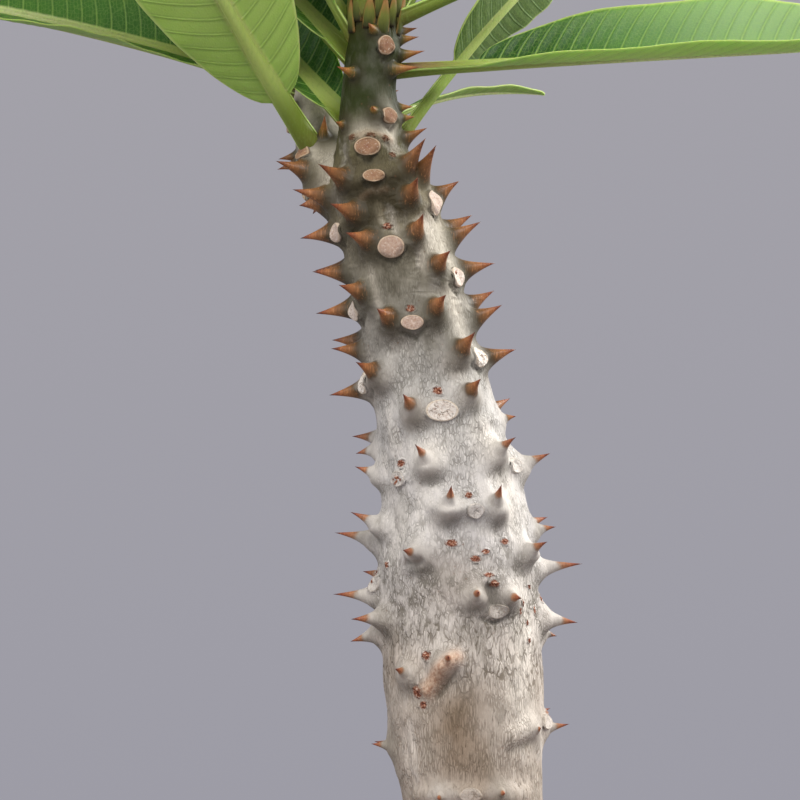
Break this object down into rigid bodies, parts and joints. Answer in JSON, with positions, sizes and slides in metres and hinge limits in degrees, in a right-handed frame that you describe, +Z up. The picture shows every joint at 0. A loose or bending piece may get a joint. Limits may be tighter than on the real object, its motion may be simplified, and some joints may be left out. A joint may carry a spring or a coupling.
{
  "type": "potted pachypodium baronii",
  "caption": "Spiny grey succulent stem with a swollen base and a fork, leaves at its top, in gritty soil in a plain terracotta pot.",
  "frame": {"origin": "centre of the pot's flat underside, on the surface that it stands on", "axes": "+Z up along the pot's axis, -Y towards the viewer of the picture, +X to the viewer's right"},
  "size_m": [0.2748, 0.1714, 0.4203],
  "materials": {
    "pot": "matte unglazed terracotta",
    "soil": "matte gritty soil",
    "stem": "satin silver-grey living bark, tan scars and red-brown spines",
    "leaf": "satin green leaf, paler midrib and underside"
  },
  "bodies": {
    "root": {"pot": "pot", "soil": "soil", "stem": "stem", "leaf_01": "leaf", "leaf_02": "leaf", "leaf_03": "leaf", "leaf_04": "leaf", "leaf_05": "leaf", "leaf_06": "leaf", "leaf_07": "leaf", "leaf_08": "leaf", "leaf_09": "leaf", "leaf_10": "leaf", "leaf_11": "leaf", "leaf_12": "leaf", "leaf_13": "leaf", "leaf_14": "leaf", "leaf_15": "leaf", "leaf_16": "leaf", "leaf_17": "leaf", "leaf_18": "leaf"}
  },
  "joints": []
}
